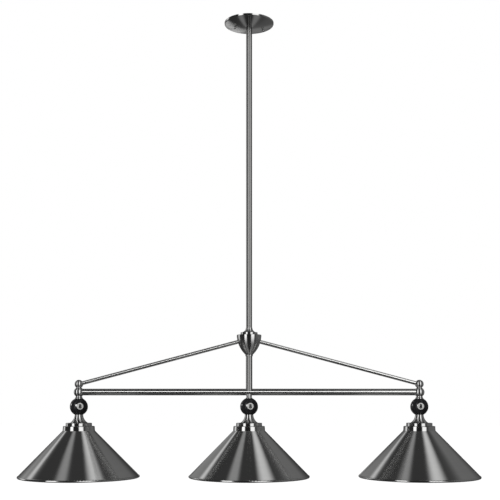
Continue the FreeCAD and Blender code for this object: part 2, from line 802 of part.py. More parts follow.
def finial(label, x, turn):
    """Turned double ball: from -X the brace enters the small upper ball and the bar the large one."""
    centre = "-(ball_depth - large_ball_depth)"
    upper = "(large_ball_depth - small_ball_depth)"
    seat = "(ball_radius + seat_gap)"
    waist_top = f"{upper} - sqrt(small_ball_radius ^ 2 - waist_radius ^ 2)"
    body = turned(label, [
        ("0", f"{upper} + small_ball_radius"),
        ("waist_radius", waist_top, "-small_ball_radius"),
        ("waist_radius", "sqrt(large_ball_radius ^ 2 - waist_radius ^ 2)"),
        ("foot_neck_radius", "-sqrt(large_ball_radius ^ 2 - foot_neck_radius ^ 2)", "-large_ball_radius"),
        ("foot_radius", f"{centre} + sqrt({seat} ^ 2 - foot_radius ^ 2) + 1.6", "5.5"),
        ("foot_radius", f"{centre} + sqrt({seat} ^ 2 - foot_radius ^ 2)"),
        ("0", f"{centre} + {seat}", seat),
    ], x, "-large_ball_depth")
    body.setExpression(".Placement.Rotation.Angle", bound(turn))
    bore = new_sketch(body, "BarSocket", "YZ_Plane", "-10")
    circle(bore, "0", "(large_ball_depth - bar_depth)", "bar_radius + press_gap")
    cut_through(body, bore, "30", "BarSocket")
    drill(body, "NippleHole", "0", "0", f"{centre} + ball_radius - 2", "nipple_hole", "20")
    tilt = f"-(90 deg - {BRACE_SLOPE})"
    drill(body, "BraceSocket", "0", "0", upper, "brace_radius + sleeve_gap", "20", tilt)


def centre_neck():
    """Short neck under the middle of the bar, coped to it, with a dished foot on the ball."""
    seat = "(ball_radius + seat_gap)"
    foot = f"sqrt({seat} ^ 2 - neck_foot_radius ^ 2)"
    body = turned("center_neck", [
        ("nipple_hole", "ball_depth - bar_depth"),
        ("neck_radius", "ball_depth - bar_depth"),
        ("neck_radius", f"{foot} + 2.6"),
        ("neck_foot_radius", f"{foot} + 1.0", "2.2"),
        ("neck_foot_radius", foot),
        ("nipple_hole", f"sqrt({seat} ^ 2 - nipple_hole ^ 2)", seat),
    ], z="-ball_depth")
    saddle = new_sketch(body, "Saddle", "YZ_Plane")
    circle(saddle, "0", "ball_depth - bar_depth", "bar_radius")
    cut_through(body, saddle, "6 * neck_radius", "Saddle")


# ---------------------------------------------------------------- lights

LIGHTS = (("left", "-light_spacing"), ("center", "0"), ("right", "light_spacing"))


def pool_ball(side, x):
    """Phenolic pool ball with a running hole for its hanger nipple."""
    hole = "(nipple_radius + running_gap)"
    end = f"sqrt(ball_radius ^ 2 - {hole} ^ 2)"
    turned(f"{side}_ball", [
        (hole, f"-{end}"),
        (hole, end, "ball_radius"),
    ], x, "-ball_depth")


def cup(side, x):
    """Trumpet cup: dished top under the ball, flared neck and a shallow downturned flange."""
    top = "(cup_roof_depth - ball_depth)"
    seat = "(ball_radius + seat_gap)"
    neck_top = f"({top} - sqrt({seat} ^ 2 - cup_neck_radius ^ 2))"
    flare_end = "cup_neck_radius + cup_flare_reach"
    turned(f"{side}_cup", [
        ("nipple_hole", f"{top} - sqrt({seat} ^ 2 - nipple_hole ^ 2)"),
        ("cup_neck_radius", neck_top, seat),
        ("cup_neck_radius", f"{neck_top} - 0.6"),
        (flare_end, "0", "cup_flare"),
        ("cup_flange_radius - 1.5", "0"),
        ("cup_flange_radius", "-1.5", "-1.5"),
        ("cup_flange_radius", "-cup_flange_height + 0.4"),
        ("cup_flange_radius - 0.4", "-cup_flange_height", "-0.4"),
        ("cup_flange_radius - cup_gauge", "-cup_flange_height"),
        ("cup_flange_radius - cup_gauge", "-cup_gauge - 1"),
        ("cup_flange_radius - cup_gauge - 1", "-cup_gauge", "1.0"),
        ("nipple_hole", "-cup_gauge"),
    ], x, "-cup_roof_depth")


def shade(side, x):
    """Spun conical shade: round-shouldered collar, straight cone and a rolled bead round the mouth."""
    slant = "(mouth_radius - collar_foot_radius) / (mouth_height - collar_height)"
    shift = f"shade_gauge * sqrt(1 + ({slant}) ^ 2)"
    inner = "(collar_foot_radius - shade_gauge)"
    drop = f"({shift} - shade_gauge) / ({slant})"
    body = turned(f"{side}_shade", [
        ("shade_hole", "0"),
        ("collar_radius - collar_round", "0"),
        ("collar_radius", "-collar_round", "-collar_round"),
        ("collar_foot_radius", "-collar_height"),
        ("mouth_radius", "-mouth_height"),
        (f"mouth_radius - {shift}", "-mouth_height"),
        (inner, f"-collar_height - {drop}"),
        ("collar_radius - shade_gauge", "-collar_round"),
        ("collar_radius - collar_round", "-shade_gauge", "collar_round - shade_gauge"),
        ("shade_hole", "-shade_gauge"),
    ], x, "-shade_depth")
    bead = new_sketch(body, "Bead")
    circle(bead, "bead_centre_radius", "-bead_centre_height", "bead_radius")
    revolve(body, bead, "Bead")


def socket(side, x):
    """Lamp socket: shoulder above the shade's top, sleeve through it, blind bore for the bulb."""
    turned(f"{side}_socket", [
        ("nipple_hole", "0"),
        ("socket_shoulder_radius - 1", "0"),
        ("socket_shoulder_radius", "-1", "-1.0"),
        ("socket_shoulder_radius", "-socket_shoulder_height"),
        ("socket_radius", "-socket_shoulder_height"),
        ("socket_radius", "-socket_height + 1.2"),
        ("socket_radius - 1.2", "-socket_height"),
        ("socket_bore + 1", "-socket_height"),
        ("socket_bore", "-socket_height + 1", "1.0"),
        ("socket_bore", "-socket_roof"),
        ("nipple_hole", "-socket_roof"),
    ], x, "-socket_depth")


def shade_ring(side, x):
    """Threaded ring that clamps the shade up against the socket's shoulder, knurled round its rim."""
    body = turned(f"{side}_shade_ring", [
        ("socket_radius + running_gap", "0"),
        ("ring_outer_radius - 1", "0"),
        ("ring_outer_radius", "-1", "-1.0"),
        ("ring_outer_radius", "-ring_height + 2"),
        ("ring_outer_radius - 2", "-ring_height", "-2.0"),
        ("socket_radius + running_gap", "-ring_height"),
    ], x, "-shade_depth - shade_gauge - ring_gap")
    groove = new_sketch(body, "Groove", "XY_Plane")
    circle(groove, "ring_outer_radius + 0.5", "0", "knurl_radius")
    cut = cut_through(body, groove, "3 * ring_height", "Groove")
    ring = body.newObject("PartDesign::PolarPattern", f"{body.Name}_Knurls")
    ring.Originals = [cut]
    ring.Axis = (groove, ["N_Axis"])
    ring.Angle = 360.0
    ring.setExpression("Occurrences", bound("knurls"))
    body.Tip = ring


def bulb(side, x):
    """Screw-base bulb: capped base, and a hollow pear-shaped envelope."""
    turned(f"{side}_bulb_base", [
        ("0", "0"),
        ("3.6", "0"),
        ("4.6", "-1.0", "-1.0"),
        ("9.5", "-5.6"),
        ("bulb_cap_radius - 1", "-7.0"),
        ("bulb_cap_radius", "-8.0"),
        ("bulb_cap_radius", "-bulb_cap_height"),
        ("0", "-bulb_cap_height"),
    ], x, "-bulb_tip_depth")
    centre = "(bulb_length - bulb_radius)"
    across = "cos(bulb_join_angle)"
    along = "sin(bulb_join_angle)"
    hollow = "(bulb_radius - bulb_glass)"
    turned(f"{side}_bulb_glass", [
        ("bulb_neck_radius - bulb_glass", "-bulb_cap_height - 0.1", "-bulb_neck_curve - bulb_glass"),
        ("bulb_neck_radius", "-bulb_cap_height - 0.1"),
        (f"bulb_radius * {across}", f"-{centre} + bulb_radius * {along}", "bulb_neck_curve"),
        ("0", "-bulb_length", "-bulb_radius"),
        ("0", "-bulb_length + bulb_glass"),
        (f"{hollow} * {across}", f"-{centre} + {hollow} * {along}", hollow),
    ], x, "-bulb_tip_depth")


def lights():
    for side, x in LIGHTS:
        pool_ball(side, x)
        cup(side, x)
        shade(side, x)
        socket(side, x)
        shade_ring(side, x)
        bulb(side, x)
    centres = [x for side, x in LIGHTS]
    repeated_rings("hanger_nipples", "nipple_radius", "nipple_bore",
                   "socket_depth + hanger_tail - bar_depth - hanger_inset",
                   [(x, "-socket_depth - hanger_tail") for x in centres])
    repeated_hexagons("hanger_locknuts", "nipple_hole", "locknut_height",
                      [(x, "-cup_roof_depth - cup_gauge - locknut_height") for x in centres])
    repeated_rings("screw_shells", "screw_shell_radius", "screw_shell_radius - screw_shell_gauge",
                   "screw_shell_height",
                   [(x, "-socket_depth - socket_height + 4") for x in centres])
    contacts = grouped("socket_contacts", z="-bulb_tip_depth + 0.3")
    plan = new_sketch(contacts, "Plan", "XY_Plane")
    for x in centres:
        circle(plan, x, "0", "contact_radius")
    pad(contacts, plan, "contact_gauge")


# ---------------------------------------------------------------- wiring

def cords():
    """Main cord down the rod to the bar, and one branch from there to each socket."""
    main = new_body("main_cord", z="-cord_top_depth")
    section = new_sketch(main, "Section", "XY_Plane")
    circle(section, "0", "0", "main_cord_radius")
    run = pad(main, section, "bar_depth - cord_top_depth - cord_foot_rise")
    run.Reversed = True
    middle = new_body("center_cord", z="-bar_depth - cord_start")
    section = new_sketch(middle, "Section", "XY_Plane")
    circle(section, "0", "0", "branch_cord_radius")
    run = pad(middle, section, "socket_depth + socket_roof - bar_depth - cord_start - 1")
    run.Reversed = True
    for label, sign in (("left_cord", "-"), ("right_cord", "")):
        body = new_body(label, z="-bar_depth")
        corner = f"{sign}(light_spacing - cord_bend)"
        down = "-(socket_depth + socket_roof - bar_depth - 1)"
        bend = "-cord_bend" if sign == "" else "cord_bend"
        pipe(body, "YZ_Plane", f"{sign}cord_start", ("0", "0"), "branch_cord_radius", [
            (f"{sign}cord_start", "0"),
            (corner, "0"),
            (f"{sign}light_spacing", "-cord_bend", bend),
            (f"{sign}light_spacing", down),
        ])


# ---------------------------------------------------------------- build, check and write

def check_and_write():
    """Stops on any failed object or bad shape, then writes one file per labelled piece."""
    doc.recompute()
    for item in doc.Objects:
        if "Invalid" in item.State or "Error" in item.State:
            raise RuntimeError(f"{item.Name}: {item.State}")
    pieces = [item for item in doc.Objects if item.TypeId == "PartDesign::Body"]
    for piece in pieces:
        if piece.Shape.isNull() or not piece.Shape.isValid() or not piece.Shape.Solids:
            raise RuntimeError(f"{piece.Label}: bad shape")
    os.makedirs("parts", exist_ok=True)
    for piece in pieces:
        piece.Shape.exportStep(os.path.join("parts", piece.Label + ".step"))
    print(len(pieces), "pieces written")


fill_sheet()
box_crossbar()
pivot_eyelet()
canopy_strap()
canopy_studs()
canopy_ball_nuts()
canopy()
ground_screw()
supply_wiring()
drop_rod()
hub()
stem()
main_bar()
braces()
finial("left_finial", "-light_spacing", "180 deg")
finial("right_finial", "light_spacing", "0 deg")
centre_neck()
lights()
cords()
check_and_write()
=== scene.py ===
"""Looks for the pool table lamp: brushed nickel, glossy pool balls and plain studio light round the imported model."""
import math

import bmesh
import bpy
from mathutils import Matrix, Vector


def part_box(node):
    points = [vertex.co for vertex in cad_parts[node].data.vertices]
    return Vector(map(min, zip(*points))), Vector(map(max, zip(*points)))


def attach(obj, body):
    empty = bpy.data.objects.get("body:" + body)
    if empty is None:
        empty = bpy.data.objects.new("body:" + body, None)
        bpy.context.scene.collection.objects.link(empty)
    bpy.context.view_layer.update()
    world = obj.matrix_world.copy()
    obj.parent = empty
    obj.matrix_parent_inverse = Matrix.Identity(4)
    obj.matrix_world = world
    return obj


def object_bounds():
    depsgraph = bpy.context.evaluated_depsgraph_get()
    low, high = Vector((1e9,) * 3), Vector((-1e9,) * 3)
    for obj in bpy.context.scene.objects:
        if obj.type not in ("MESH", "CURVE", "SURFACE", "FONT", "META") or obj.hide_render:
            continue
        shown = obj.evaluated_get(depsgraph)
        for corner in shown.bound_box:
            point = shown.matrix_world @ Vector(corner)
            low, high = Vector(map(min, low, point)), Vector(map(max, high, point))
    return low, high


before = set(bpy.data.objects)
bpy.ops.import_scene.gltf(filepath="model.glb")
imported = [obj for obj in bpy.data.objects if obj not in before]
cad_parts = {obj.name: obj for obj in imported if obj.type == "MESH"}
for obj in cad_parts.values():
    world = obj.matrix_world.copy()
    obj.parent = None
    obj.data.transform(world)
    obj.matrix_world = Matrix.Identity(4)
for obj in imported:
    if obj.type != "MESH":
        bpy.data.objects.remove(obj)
cad_low, cad_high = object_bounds()
scene = bpy.context.scene
scene.view_settings.view_transform = "Standard"

SIDES = ("left", "center", "right")
MM = 0.001
UPRIGHT = (0, 0, 1)

# Viewpoint: level camera in front of the lamp, at the height of the pool balls, with its lens shifted up.
CAMERA_PLACE = Vector((0.0, -2.703, -1.069))
CAMERA_LENS = 68.3
CAMERA_SIDE_SHIFT = 0.0018
CAMERA_RISE = 0.2963


# ---------------------------------------------------------------- small helpers

def middle(node):
    """Centre of a CAD node's box."""
    low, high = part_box(node)
    return (low + high) / 2


class Nodes:
    """Short way to add and join shader nodes."""

    def __init__(self, tree, empty=True):
        self.tree = tree
        if empty:
            tree.nodes.clear()

    def add(self, kind, **settings):
        node = self.tree.nodes.new(kind)
        for name, value in settings.items():
            setattr(node, name, value)
        return node

    def link(self, source, target):
        self.tree.links.new(source, target)

    def feed(self, socket, value):
        """Sets an input, or joins it when the value is another node's output."""
        if isinstance(value, bpy.types.NodeSocket):
            self.link(value, socket)
        else:
            socket.default_value = value

    def math(self, operation, first, second):
        node = self.add("ShaderNodeMath", operation=operation)
        self.feed(node.inputs[0], first)
        self.feed(node.inputs[1], second)
        return node.outputs[0]

    def vector(self, operation, first, second=(0, 0, 0)):
        node = self.add("ShaderNodeVectorMath", operation=operation)
        self.feed(node.inputs[0], first)
        self.feed(node.inputs[1], second)
        return node.outputs["Value"] if operation in ("DOT_PRODUCT", "LENGTH") else node.outputs["Vector"]

    def split(self, vector):
        node = self.add("ShaderNodeSeparateXYZ")
        self.link(vector, node.inputs[0])
        return node.outputs

    def join(self, x, y, z):
        node = self.add("ShaderNodeCombineXYZ")
        for socket, value in zip(node.inputs, (x, y, z)):
            self.feed(socket, value)
        return node.outputs[0]

    def noise(self, vector, scale, detail=2.0, rough=0.5):
        node = self.add("ShaderNodeTexNoise")
        self.link(vector, node.inputs["Vector"])
        node.inputs["Scale"].default_value = scale
        node.inputs["Detail"].default_value = detail
        node.inputs["Roughness"].default_value = rough
        return node.outputs["Fac"]

    def spread(self, value, low, high, clamp=True):
        """Maps 0..1 to low..high."""
        node = self.add("ShaderNodeMapRange", clamp=clamp)
        self.feed(node.inputs["Value"], value)
        node.inputs["To Min"].default_value = low
        node.inputs["To Max"].default_value = high
        return node.outputs["Result"]

    def step(self, value, start, end):
        """Smooth step from 0 at start to 1 at end."""
        node = self.add("ShaderNodeMapRange", interpolation_type="SMOOTHSTEP")
        self.feed(node.inputs["Value"], value)
        node.inputs["From Min"].default_value = start
        node.inputs["From Max"].default_value = end
        return node.outputs["Result"]

    def ramp(self, value, stops):
        """Grey levels at places from 0 to 1, joined by straight lines."""
        node = self.add("ShaderNodeValToRGB")
        self.feed(node.inputs[0], value)
        elements = node.color_ramp.elements
        while len(elements) < len(stops):
            elements.new(0.5)
        for element, (place, level) in zip(elements, stops):
            element.position = place
            element.color = (level, level, level, 1.0)
        return node.outputs["Color"]

    def mix_colour(self, factor, first, second):
        node = self.add("ShaderNodeMix", data_type="RGBA")
        self.feed(node.inputs["Factor"], factor)
        for socket, value in ((node.inputs[6], first), (node.inputs[7], second)):
            if isinstance(value, tuple) and len(value) == 3:
                value = (*value, 1.0)
            self.feed(socket, value)
        return node.outputs[2]

    def mix_shader(self, factor, first, second):
        node = self.add("ShaderNodeMixShader")
        for socket, value in zip(node.inputs, (factor, first, second)):
            self.link(value, socket)
        return node.outputs[0]


def new_material(name):
    material = bpy.data.materials.new(name)
    material.use_nodes = True
    return material, Nodes(material.node_tree)


def surface(nodes, **inputs):
    """Principled surface joined to the material's output."""
    shader = nodes.add("ShaderNodeBsdfPrincipled")
    for name, value in inputs.items():
        socket = shader.inputs[name.replace("_", " ")]
        if isinstance(value, tuple) and len(value) == 3 and socket.type == "RGBA":
            value = (*value, 1.0)
        nodes.feed(socket, value)
    output = nodes.add("ShaderNodeOutputMaterial", name="output")
    nodes.link(shader.outputs[0], output.inputs["Surface"])
    return shader


def bump(nodes, height, strength, distance=0.0002):
    """Normal bent by a height pattern; the distance is in metres."""
    node = nodes.add("ShaderNodeBump")
    node.inputs["Strength"].default_value = strength
    node.inputs["Distance"].default_value = distance
    nodes.link(height, node.inputs["Height"])
    return node.outputs[0]


# ---------------------------------------------------------------- materials

NICKEL_TINT = (0.60, 0.60, 0.595)
TUBE_TINT = (0.42, 0.42, 0.415)
TUBE_HAZE = 0.02
COLUMN_SWING = 4.5  # degrees
CANOPY_SWING = 2.0
FINE_GROOVES = 1500.0  # per metre
COARSE_GROOVES = 160.0
GROOVES_ROUND = 1.6  # changes of the grooves round the axis
ENAMEL_RADIUS = 0.1651  # the enamel inside a shade ends here, short of the bead


def turned_coordinates(nodes, point, axis):
    """(height along the axis, radius, unit vector round the axis) of the shaded point, in the node's own space."""
    place = nodes.add("ShaderNodeTexCoord").outputs["Object"]
    arm = nodes.vector("SUBTRACT", place, tuple(point))
    height = nodes.vector("DOT_PRODUCT", arm, tuple(axis))
    round_axis = nodes.vector("CROSS_PRODUCT", tuple(axis), arm)
    radius = nodes.vector("LENGTH", round_axis)
    return height, radius, nodes.vector("NORMALIZE", round_axis)


def brushed_metal(name, point, axis, tint=NICKEL_TINT, across=0.014, along=0.17, swing=0.0, haze=0.0):
    """Metal with a turned grain: fine grooves run round the axis, so highlights spread along it.

    across and along are the microscopic slopes round the axis and along it. swing turns the highlights round
    the vertical by some degrees, as lamps that stand close by would do. haze is the strength of a dull film."""
    material, nodes = new_material(name)
    axis = Vector(axis).normalized()
    height, radius, around = turned_coordinates(nodes, point, axis)

    turn = nodes.add("ShaderNodeVectorTransform", vector_type="VECTOR", convert_from="OBJECT", convert_to="WORLD")
    nodes.link(around, turn.inputs[0])
    normal = nodes.add("ShaderNodeNewGeometry").outputs["Normal"]
    lengthwise = nodes.vector("NORMALIZE", nodes.vector("CROSS_PRODUCT", normal, turn.outputs[0]))

    # Grooves: noise that changes fast along height and radius, and slowly round the axis.
    slow = nodes.split(nodes.vector("MULTIPLY", around, (GROOVES_ROUND,) * 3))
    turned = nodes.math("ADD", slow[1], slow[2])
    path = nodes.math("ADD", height, nodes.math("MULTIPLY", radius, 0.9))
    fine = nodes.join(slow[0], turned, nodes.math("MULTIPLY", path, FINE_GROOVES))
    coarse = nodes.join(slow[0], turned, nodes.math("MULTIPLY", path, COARSE_GROOVES))
    groove = nodes.noise(fine, 1.0, 3.0, 0.65)
    band = nodes.noise(coarse, 1.0, 2.0, 0.5)
    cloud = nodes.noise(nodes.add("ShaderNodeTexCoord").outputs["Object"], 9.0, 3.0, 0.6)

    shade = nodes.math("ADD", nodes.spread(groove, -0.05, 0.05), nodes.spread(band, -0.03, 0.03))
    shade = nodes.math("ADD", shade, nodes.spread(cloud, 0.97, 1.03))
    colour = nodes.vector("SCALE", tuple(tint))
    nodes.link(shade, colour.node.inputs["Scale"])

    # The glossy shader takes one roughness and a stretch: slope = roughness squared, times or over (1 - stretch).
    mean = math.sqrt(math.sqrt(across * along))
    stretch = 1.0 - math.sqrt(across / along)
    rough = nodes.math("ADD", nodes.spread(band, -0.012, 0.012), nodes.spread(cloud, mean - 0.008, mean + 0.008))
    metal = nodes.add("ShaderNodeBsdfAnisotropic", distribution="BECKMANN", name="metal")
    nodes.link(colour, metal.inputs["Color"])
    nodes.link(rough, metal.inputs["Roughness"])
    metal.inputs["Anisotropy"].default_value = -stretch
    nodes.link(lengthwise, metal.inputs["Tangent"])
    grooved = bump(nodes, groove, 0.02)
    if swing:
        swung = nodes.add("ShaderNodeVectorRotate", rotation_type="Z_AXIS")
        nodes.link(normal, swung.inputs["Vector"])
        swung.inputs["Angle"].default_value = math.radians(-swing)
        nodes.link(swung.outputs[0], grooved.node.inputs["Normal"])
    nodes.link(grooved, metal.inputs["Normal"])
    shader = metal
    if haze:
        film = nodes.add("ShaderNodeBsdfDiffuse")
        film.inputs["Color"].default_value = (haze, haze, haze, 1.0)
        shader = nodes.add("ShaderNodeAddShader")
        nodes.link(metal.outputs[0], shader.inputs[0])
        nodes.link(film.outputs[0], shader.inputs[1])
    output = nodes.add("ShaderNodeOutputMaterial", name="output")
    nodes.link(shader.outputs[0], output.inputs["Surface"])
    return material


def shade_metal(name, point):
    """Brushed nickel outside, satin white enamel inside, with the bead left in metal."""
    material = brushed_metal(name, point, UPRIGHT, along=0.09)
    nodes = Nodes(material.node_tree, empty=False)
    metal, output = nodes.tree.nodes["metal"], nodes.tree.nodes["output"]

    place = nodes.add("ShaderNodeTexCoord")
    arm = nodes.vector("SUBTRACT", place.outputs["Object"], tuple(point))
    parts = nodes.split(arm)
    radius = nodes.vector("LENGTH", nodes.join(parts[0], parts[1], 0.0))
    outward = nodes.vector("NORMALIZE", nodes.join(parts[0], parts[1], 0.0))
    facing = nodes.vector("DOT_PRODUCT", place.outputs["Normal"], outward)
    under = nodes.split(place.outputs["Normal"])[2]
    inner = nodes.math("MAXIMUM", nodes.math("LESS_THAN", facing, -0.2), nodes.math("LESS_THAN", under, -0.5))
    inside = nodes.math("MULTIPLY", inner, nodes.math("LESS_THAN", radius, ENAMEL_RADIUS))

    speckle = nodes.noise(place.outputs["Object"], 420.0, 2.0, 0.6)
    cloud = nodes.noise(place.outputs["Object"], 14.0, 3.0, 0.5)
    enamel = nodes.add("ShaderNodeBsdfPrincipled")
    nodes.link(nodes.mix_colour(cloud, (0.80, 0.79, 0.76), (0.86, 0.85, 0.83)), enamel.inputs["Base Color"])
    nodes.link(nodes.spread(speckle, 0.36, 0.46), enamel.inputs["Roughness"])
    enamel.inputs["Coat Weight"].default_value = 0.3
    enamel.inputs["Coat Roughness"].default_value = 0.25
    nodes.link(bump(nodes, speckle, 0.25), enamel.inputs["Normal"])
    nodes.link(nodes.mix_shader(inside, metal.outputs[0], enamel.outputs[0]), output.inputs["Surface"])
    return material


def mottled(name, dark, light, scale, roughness, rough_spread=0.06, metallic=0.0, bump_strength=0.15, **extra):
    """Moulded, cast or plated surface: two tones in a fine mottle, with uneven polish."""
    material, nodes = new_material(name)
    place = nodes.add("ShaderNodeTexCoord").outputs["Object"]
    grain = nodes.noise(place, scale, 4.0, 0.6)
    cloud = nodes.noise(place, scale * 0.08, 2.0, 0.5)
    blend = nodes.math("MULTIPLY", nodes.math("ADD", grain, cloud), 0.5)
    surface(
        nodes,
        Base_Color=nodes.mix_colour(nodes.spread(blend, -0.4, 1.4), dark, light),
        Metallic=metallic,
        Roughness=nodes.spread(grain, roughness - rough_spread, roughness + rough_spread),
        Normal=bump(nodes, grain, bump_strength),
        **extra,
    )
    return material


def ball_resin():
    """Polished black phenolic: deep black under a clear hard gloss with a few hair scratches."""
    material, nodes = new_material("ball_black_resin")
    place = nodes.add("ShaderNodeTexCoord").outputs["Object"]
    haze = nodes.noise(place, 120.0, 4.0, 0.6)
    scratch = nodes.noise(nodes.vector("MULTIPLY", place, (3000.0, 260.0, 900.0)), 1.0, 2.0, 0.5)
    fine = nodes.step(scratch, 0.66, 0.74)
    surface(
        nodes,
        Base_Color=nodes.mix_colour(haze, (0.002, 0.002, 0.0022), (0.005, 0.005, 0.0055)),
        Roughness=nodes.math("ADD", nodes.spread(haze, 0.10, 0.16), nodes.math("MULTIPLY", fine, 0.10)),
        IOR=1.58,
        Specular_IOR_Level=0.16,
        Normal=bump(nodes, scratch, 0.02, 0.0001),
    )
    return material


def number_white():
    """Inlaid off-white resin disc."""
    return mottled("ball_white_resin", (0.33, 0.33, 0.325), (0.41, 0.41, 0.40), 300.0, 0.16, 0.04,
                   bump_strength=0.02, Coat_Weight=0.5, Coat_Roughness=0.06)


def frosted_glass():
    """Bulb envelope with a soft white inside coating."""
    material, nodes = new_material("bulb_frosted_glass")
    place = nodes.add("ShaderNodeTexCoord").outputs["Object"]
    powder = nodes.noise(place, 260.0, 3.0, 0.6)
    surface(
        nodes,
        Base_Color=nodes.mix_colour(powder, (0.80, 0.80, 0.78), (0.90, 0.90, 0.88)),
        Roughness=nodes.spread(powder, 0.16, 0.26),
        Transmission_Weight=0.25,
        Subsurface_Weight=0.4,
        Subsurface_Radius=(0.01, 0.01, 0.009),
        Subsurface_Scale=0.5,
        Coat_Weight=0.8,
        Coat_Roughness=0.04,
    )
    return material


def use(material, *nodes):
    """Puts a material on whole CAD nodes."""
    for name in nodes:
        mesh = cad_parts[name].data
        mesh.materials.clear()
        mesh.materials.append(material)


# ---------------------------------------------------------------- dressing the CAD nodes

def axis_of(side):
    """A point on the vertical axis of one light."""
    place = middle(f"{side}_ball")
    return Vector((place.x, 0.0, 0.0))


def dress_metal():
    """Brushed nickel on every part that shows, each with the grain turned about its own axis."""
    centre = (0, 0, 0)
    use(brushed_metal("nickel_center_light", centre, UPRIGHT), "center_neck", "center_cup")
    use(brushed_metal("nickel_canopy", centre, UPRIGHT, along=0.12, swing=CANOPY_SWING), "canopy")
    use(brushed_metal("nickel_hub", centre, UPRIGHT, along=0.13, swing=COLUMN_SWING), "hub_cap", "hub_body")
    tubes = brushed_metal("nickel_center_tubes", centre, UPRIGHT, tint=TUBE_TINT, swing=COLUMN_SWING)
    use(tubes, "upper_rod", "middle_rod", "lower_rod", "lower_stem")
    use(brushed_metal("nickel_canopy_nuts", centre, UPRIGHT, across=0.03, along=0.05), "canopy_ball_nuts")
    thin = {"tint": TUBE_TINT, "along": 0.05, "haze": TUBE_HAZE}
    use(brushed_metal("nickel_bar", middle("main_bar"), (1, 0, 0), **thin), "main_bar")
    for side in ("left", "right"):
        low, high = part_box(f"{side}_brace")
        slope = Vector((high.x - low.x, 0, high.z - low.z))
        if side == "right":
            slope.z = -slope.z
        use(brushed_metal(f"nickel_{side}_brace", (low + high) / 2, slope, **thin), f"{side}_brace")
        use(brushed_metal(f"nickel_{side}_light", axis_of(side), UPRIGHT), f"{side}_finial", f"{side}_cup")
    for side in SIDES:
        use(shade_metal(f"nickel_{side}_shade", axis_of(side)), f"{side}_shade")


def dress_fittings():
    """Plated, moulded and glass parts, most of them hidden."""
    zinc = mottled("zinc_plate", (0.50, 0.51, 0.53), (0.66, 0.67, 0.68), 180.0, 0.34, metallic=1.0)
    use(zinc, "box_crossbar", "canopy_strap", "canopy_studs", "pivot_eyelet", "canopy_locknut", "hub_locknut",
        "hanger_locknuts", "stem_bush", "rod_bushes")
    brass = mottled("turned_brass", (0.70, 0.50, 0.22), (0.82, 0.64, 0.32), 240.0, 0.26, metallic=1.0)
    use(brass, "top_nipple", "rod_joint_nipples", "hub_nipple", "hanger_nipples", "screw_shells", "socket_contacts")
    use(mottled("green_screw", (0.02, 0.16, 0.05), (0.05, 0.26, 0.09), 260.0, 0.35, metallic=0.7), "ground_screw")
    use(mottled("bare_copper", (0.66, 0.30, 0.18), (0.82, 0.44, 0.28), 300.0, 0.30, metallic=1.0), "ground_lead")
    use(mottled("black_insulation", (0.012, 0.012, 0.012), (0.03, 0.03, 0.03), 300.0, 0.42), "black_lead")
    use(mottled("white_insulation", (0.70, 0.69, 0.66), (0.82, 0.81, 0.78), 300.0, 0.42), "white_lead")
    use(mottled("orange_nylon", (0.70, 0.17, 0.02), (0.88, 0.27, 0.04), 220.0, 0.40), "wire_connectors")
    use(mottled("cord_vinyl", (0.02, 0.02, 0.02), (0.05, 0.05, 0.05), 260.0, 0.45),
        "main_cord", "left_cord", "right_cord", "center_cord")
    phenolic = mottled("socket_phenolic", (0.010, 0.009, 0.008), (0.030, 0.027, 0.024), 350.0, 0.34)
    cap = mottled("bulb_cap_tin", (0.58, 0.57, 0.55), (0.76, 0.75, 0.73), 260.0, 0.24, metallic=1.0)
    resin = ball_resin()
    glass = frosted_glass()
    for side in SIDES:
        use(phenolic, f"{side}_socket", f"{side}_shade_ring")
        use(cap, f"{side}_bulb_base")
        use(glass, f"{side}_bulb_glass")
        use(resin, f"{side}_ball")


# ---------------------------------------------------------------- numbers on the balls

DISC_RADIUS = 9.7 * MM
DISC_PROUD = 0.10 * MM
NUMERAL_PROUD = 0.18 * MM
EDGE_REACH = 0.02 * MM
EDGE_SINK = 0.05 * MM
DISC_STEPS, DISC_ROWS = 64, 10
LOOP_STEPS, LOOP_ROWS = 48, 4
LOOPS = ((-2.6 * MM, 0.75 * MM, 4.1 * MM), (3.0 * MM, 0.60 * MM, 3.5 * MM))  # height, inner and outer radius
BALL_TURNS = {"left": 18.0, "center": 9.0, "right": 0.0}  # degrees
BALL_TILT = 0.06


def wrap(mesh, centre, facing, radius):
    """Bends a flat mesh (x right, y up, z = height above the ball) onto a ball, about the facing direction."""
    across = Vector(UPRIGHT).cross(facing).normalized()
    rise = facing.cross(across).normalized()
    for vertex in mesh.vertices:
        x, y, proud = vertex.co
        reach = math.hypot(x, y)
        angle = reach / radius
        if reach > 1e-9:
            side = (across * x + rise * y) / reach
        else:
            side = across
        direction = facing * math.cos(angle) + side * math.sin(angle)
        vertex.co = centre + direction * (radius + proud)


def flat_ring(build, centre, inner, outer, proud, steps, rows):
    """Flat annulus, or a disc when inner is 0, whose edges sink into the ball."""
    levels = [inner + (outer - inner) * row / rows for row in range(rows + 1)]
    heights = [proud] * (rows + 1)
    if inner > 0:
        levels.insert(0, inner - EDGE_REACH)
        heights.insert(0, -EDGE_SINK)
    levels.append(outer + EDGE_REACH)
    heights.append(-EDGE_SINK)
    x, y = centre
    angles = [2 * math.pi * step / steps for step in range(steps)]
    rings = []
    for level, height in zip(levels, heights):
        turn = angles if level > 0 else [0.0]
        rings.append([build.verts.new((x + level * math.cos(a), y + level * math.sin(a), height)) for a in turn])
    for inside, outside in zip(rings, rings[1:]):
        for step in range(steps):
            after = (step + 1) % steps
            if len(inside) == 1:
                build.faces.new((inside[0], outside[step], outside[after]))
            else:
                build.faces.new((inside[step], outside[step], outside[after], inside[after]))


